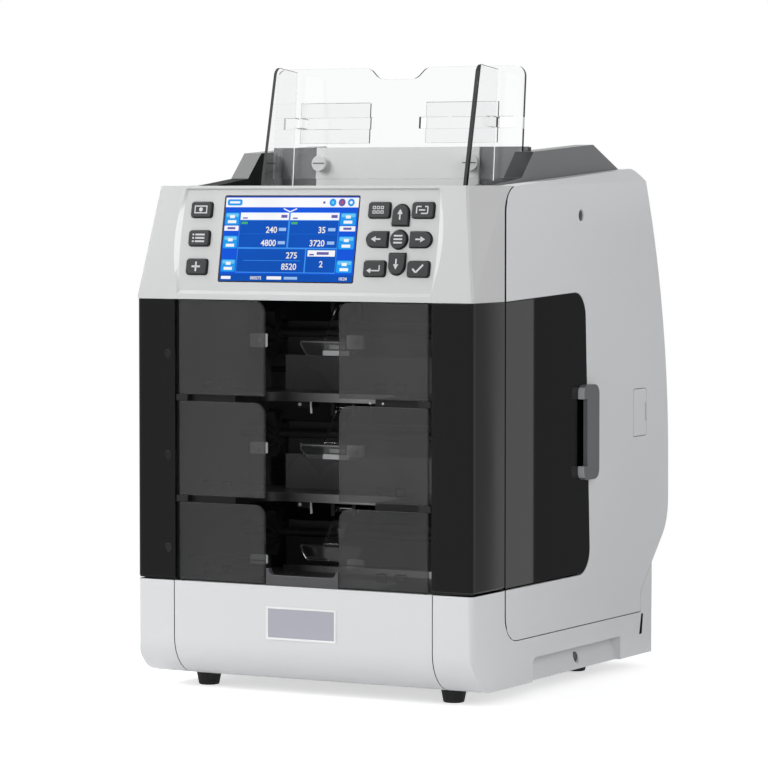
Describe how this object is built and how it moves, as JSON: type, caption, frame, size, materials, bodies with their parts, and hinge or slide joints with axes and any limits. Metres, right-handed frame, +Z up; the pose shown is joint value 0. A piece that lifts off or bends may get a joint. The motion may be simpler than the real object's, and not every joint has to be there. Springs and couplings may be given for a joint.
{
  "type": "banknote counter",
  "caption": "Table-top banknote counter and sorter with an open top hopper, a leaning keypad and display, smoked pocket doors and a hinged side door.",
  "frame": {"origin": "middle of the footprint, on the plane of the feet", "axes": "+Z up, the front with keypad and pockets faces -Y, +X to the viewer's right"},
  "size_m": [0.273, 0.3204, 0.4421],
  "materials": {
    "white_cover": "fine-grained moulded plastic",
    "silver_panel": "satin silver-grey moulded plastic",
    "dark_gloss": "glossy charcoal plastic",
    "dark_hopper": "satin charcoal plastic",
    "grip_grey": "satin mid-grey plastic",
    "light_plate": "satin light-grey plastic",
    "name_blank": "blank satin plate",
    "smoked_sheet": "smoked clear plastic",
    "clear_sheet": "clear plastic",
    "key_dark": "soft dark keys",
    "display": "lit display behind a clear window",
    "board_green": "circuit board",
    "chassis_paint": "black painted sheet steel",
    "tray_black": "satin black plastic",
    "stacker_blade": "flexible grey blades",
    "roller_rubber": "ground rubber",
    "foot_rubber": "moulded rubber",
    "screw_steel": "turned steel",
    "motor_steel": "plain steel case",
    "supply_case": "folded metal case"
  },
  "bodies": {
    "cabinet": {"base_shell": "white_cover", "base_front_panel": "white_cover", "right_side_cover": "white_cover", "left_side_cover": "white_cover", "rear_cover": "white_cover", "control_fascia": "silver_panel", "left_front_pillar": "dark_gloss", "right_front_pillar": "dark_gloss", "left_side_inlay": "dark_gloss", "hopper_surround": "dark_hopper", "hopper_back_plate": "light_plate", "nameplate": "name_blank", "note_backrest": "clear_sheet", "screen_window": "display", "circuit_boards": "board_green", "side_plates": "chassis_paint", "upper_tray": "tray_black", "middle_tray": "tray_black", "lower_tray": "tray_black", "sensor_bars": "tray_black", "drive_belt": "roller_rubber", "rubber_feet": "foot_rubber", "screws": "screw_steel", "drive_motor": "motor_steel", "power_supply": "supply_case"},
    "key_left_top": {"key_left_top": "key_dark"},
    "key_left_middle": {"key_left_middle": "key_dark"},
    "key_left_bottom": {"key_left_bottom": "key_dark"},
    "key_mode": {"key_mode": "key_dark"},
    "key_up": {"key_up": "key_dark"},
    "key_back": {"key_back": "key_dark"},
    "key_left": {"key_left": "key_dark"},
    "key_menu": {"key_menu": "key_dark"},
    "key_right": {"key_right": "key_dark"},
    "key_return": {"key_return": "key_dark"},
    "key_down": {"key_down": "key_dark"},
    "key_confirm": {"key_confirm": "key_dark"},
    "upper_left_door": {"upper_left_door": "smoked_sheet"},
    "upper_right_door": {"upper_right_door": "smoked_sheet"},
    "middle_left_door": {"middle_left_door": "smoked_sheet"},
    "middle_right_door": {"middle_right_door": "smoked_sheet"},
    "lower_left_door": {"lower_left_door": "smoked_sheet"},
    "lower_right_door": {"lower_right_door": "smoked_sheet"},
    "side_door": {"right_side_door": "dark_gloss", "door_handle": "grip_grey"},
    "port_flap": {"port_flap": "white_cover"},
    "left_note_guide": {"left_note_guide": "clear_sheet"},
    "right_note_guide": {"right_note_guide": "clear_sheet"},
    "upper_paddle": {"upper_paddle": "clear_sheet"},
    "middle_paddle": {"middle_paddle": "clear_sheet"},
    "lower_paddle": {"lower_paddle": "clear_sheet"},
    "feed_roller": {"feed_roller": "roller_rubber"},
    "pickup_roller": {"pickup_roller": "roller_rubber"},
    "upper_stacker": {"upper_stacker": "stacker_blade"},
    "middle_stacker": {"middle_stacker": "stacker_blade"},
    "lower_stacker": {"lower_stacker": "stacker_blade"},
    "motor_pulley": {"motor_pulley": "screw_steel"},
    "upper_diverter": {"upper_diverter": "tray_black"},
    "lower_diverter": {"lower_diverter": "tray_black"},
    "power_switch": {"power_switch": "tray_black"}
  },
  "joints": [
    {"name": "key_left_top_press", "type": "slide", "parent": "cabinet", "child": "key_left_top", "axis": [0, 0.9838, -0.1794], "range_m": [0, 0.0012], "stiffness_N_per_m": 400, "springref_m": -0.0008},
    {"name": "key_left_middle_press", "type": "slide", "parent": "cabinet", "child": "key_left_middle", "axis": [0, 0.9838, -0.1794], "range_m": [0, 0.0012], "stiffness_N_per_m": 400, "springref_m": -0.0008},
    {"name": "key_left_bottom_press", "type": "slide", "parent": "cabinet", "child": "key_left_bottom", "axis": [0, 0.9838, -0.1794], "range_m": [0, 0.0012], "stiffness_N_per_m": 400, "springref_m": -0.0008},
    {"name": "key_mode_press", "type": "slide", "parent": "cabinet", "child": "key_mode", "axis": [0, 0.9838, -0.1794], "range_m": [0, 0.0012], "stiffness_N_per_m": 400, "springref_m": -0.0008},
    {"name": "key_up_press", "type": "slide", "parent": "cabinet", "child": "key_up", "axis": [0, 0.9838, -0.1794], "range_m": [0, 0.0012], "stiffness_N_per_m": 400, "springref_m": -0.0008},
    {"name": "key_back_press", "type": "slide", "parent": "cabinet", "child": "key_back", "axis": [0, 0.9838, -0.1794], "range_m": [0, 0.0012], "stiffness_N_per_m": 400, "springref_m": -0.0008},
    {"name": "key_left_press", "type": "slide", "parent": "cabinet", "child": "key_left", "axis": [0, 0.9838, -0.1794], "range_m": [0, 0.0012], "stiffness_N_per_m": 400, "springref_m": -0.0008},
    {"name": "key_menu_press", "type": "slide", "parent": "cabinet", "child": "key_menu", "axis": [0, 0.9838, -0.1794], "range_m": [0, 0.0012], "stiffness_N_per_m": 400, "springref_m": -0.0008},
    {"name": "key_right_press", "type": "slide", "parent": "cabinet", "child": "key_right", "axis": [0, 0.9838, -0.1794], "range_m": [0, 0.0012], "stiffness_N_per_m": 400, "springref_m": -0.0008},
    {"name": "key_return_press", "type": "slide", "parent": "cabinet", "child": "key_return", "axis": [0, 0.9838, -0.1794], "range_m": [0, 0.0012], "stiffness_N_per_m": 400, "springref_m": -0.0008},
    {"name": "key_down_press", "type": "slide", "parent": "cabinet", "child": "key_down", "axis": [0, 0.9838, -0.1794], "range_m": [0, 0.0012], "stiffness_N_per_m": 400, "springref_m": -0.0008},
    {"name": "key_confirm_press", "type": "slide", "parent": "cabinet", "child": "key_confirm", "axis": [0, 0.9838, -0.1794], "range_m": [0, 0.0012], "stiffness_N_per_m": 400, "springref_m": -0.0008},
    {"name": "upper_left_door_swing", "type": "hinge", "parent": "cabinet", "child": "upper_left_door", "pos_m": [-0.0969, -0.1579, 0.2354], "axis": [0, 0, -1], "range_deg": [0, 95], "stiffness_Nm_per_rad": 0.02, "springref_deg": -5.73},
    {"name": "upper_right_door_swing", "type": "hinge", "parent": "cabinet", "child": "upper_right_door", "pos_m": [0.0969, -0.1579, 0.2354], "axis": [0, 0, 1], "range_deg": [0, 95], "stiffness_Nm_per_rad": 0.02, "springref_deg": -5.73},
    {"name": "middle_left_door_swing", "type": "hinge", "parent": "cabinet", "child": "middle_left_door", "pos_m": [-0.0969, -0.1579, 0.1641], "axis": [0, 0, -1], "range_deg": [0, 95], "stiffness_Nm_per_rad": 0.02, "springref_deg": -5.73},
    {"name": "middle_right_door_swing", "type": "hinge", "parent": "cabinet", "child": "middle_right_door", "pos_m": [0.0969, -0.1579, 0.1641], "axis": [0, 0, 1], "range_deg": [0, 95], "stiffness_Nm_per_rad": 0.02, "springref_deg": -5.73},
    {"name": "lower_left_door_swing", "type": "hinge", "parent": "cabinet", "child": "lower_left_door", "pos_m": [-0.0969, -0.1579, 0.1048], "axis": [0, 0, -1], "range_deg": [0, 95], "stiffness_Nm_per_rad": 0.02, "springref_deg": -5.73},
    {"name": "lower_right_door_swing", "type": "hinge", "parent": "cabinet", "child": "lower_right_door", "pos_m": [0.0969, -0.1579, 0.1048], "axis": [0, 0, 1], "range_deg": [0, 95], "stiffness_Nm_per_rad": 0.02, "springref_deg": -5.73},
    {"name": "side_door_swing", "type": "hinge", "parent": "cabinet", "child": "side_door", "pos_m": [0.132, -0.1064, 0.1775], "axis": [0, 0, -1], "range_deg": [0, 100]},
    {"name": "port_flap_swing", "type": "hinge", "parent": "cabinet", "child": "port_flap", "pos_m": [0.1326, 0.0999, 0.18975], "axis": [0, 0, -1], "range_deg": [0, 100]},
    {"name": "left_note_guide_slide", "type": "slide", "parent": "cabinet", "child": "left_note_guide", "axis": [-1, 0, 0], "range_m": [-0.022, 0.013]},
    {"name": "right_note_guide_slide", "type": "slide", "parent": "cabinet", "child": "right_note_guide", "axis": [1, 0, 0], "range_m": [-0.022, 0.013]},
    {"name": "upper_paddle_lift", "type": "hinge", "parent": "cabinet", "child": "upper_paddle", "pos_m": [0, -0.096, 0.271], "axis": [-1, 0, 0], "range_deg": [0, 30]},
    {"name": "middle_paddle_lift", "type": "hinge", "parent": "cabinet", "child": "middle_paddle", "pos_m": [0, -0.096, 0.1981], "axis": [-1, 0, 0], "range_deg": [0, 30]},
    {"name": "lower_paddle_lift", "type": "hinge", "parent": "cabinet", "child": "lower_paddle", "pos_m": [0, -0.096, 0.1268], "axis": [-1, 0, 0], "range_deg": [0, 30]},
    {"name": "feed_roller_spin", "type": "hinge", "parent": "cabinet", "child": "feed_roller", "pos_m": [0, -0.049, 0.3312], "axis": [1, 0, 0], "continuous": true},
    {"name": "pickup_roller_spin", "type": "hinge", "parent": "cabinet", "child": "pickup_roller", "pos_m": [0, -0.098, 0.3312], "axis": [1, 0, 0], "continuous": true},
    {"name": "upper_stacker_spin", "type": "hinge", "parent": "cabinet", "child": "upper_stacker", "pos_m": [0, -0.068, 0.251], "axis": [1, 0, 0], "continuous": true},
    {"name": "middle_stacker_spin", "type": "hinge", "parent": "cabinet", "child": "middle_stacker", "pos_m": [0, -0.068, 0.1781], "axis": [1, 0, 0], "continuous": true},
    {"name": "lower_stacker_spin", "type": "hinge", "parent": "cabinet", "child": "lower_stacker", "pos_m": [0, -0.068, 0.1068], "axis": [1, 0, 0], "continuous": true},
    {"name": "motor_pulley_spin", "type": "hinge", "parent": "cabinet", "child": "motor_pulley", "pos_m": [-0.11, 0.066, 0.062], "axis": [1, 0, 0], "continuous": true},
    {"name": "upper_diverter_turn", "type": "hinge", "parent": "cabinet", "child": "upper_diverter", "pos_m": [0, -0.032, 0.2224], "axis": [1, 0, 0], "range_deg": [0, 20], "stiffness_Nm_per_rad": 0.02, "springref_deg": -11.46},
    {"name": "lower_diverter_turn", "type": "hinge", "parent": "cabinet", "child": "lower_diverter", "pos_m": [0, -0.032, 0.1511], "axis": [1, 0, 0], "range_deg": [0, 20], "stiffness_Nm_per_rad": 0.02, "springref_deg": -11.46},
    {"name": "power_switch_rock", "type": "hinge", "parent": "cabinet", "child": "power_switch", "pos_m": [0.012, 0.127, 0.04], "axis": [-1, 0, 0], "range_deg": [0, 16]}
  ],
  "couplings": [
    {"joint": "pickup_roller_spin", "follows": "feed_roller_spin", "ratio": 1},
    {"joint": "upper_stacker_spin", "follows": "feed_roller_spin", "ratio": 1},
    {"joint": "middle_stacker_spin", "follows": "feed_roller_spin", "ratio": 1},
    {"joint": "lower_stacker_spin", "follows": "feed_roller_spin", "ratio": 1},
    {"joint": "motor_pulley_spin", "follows": "feed_roller_spin", "ratio": 1}
  ]
}
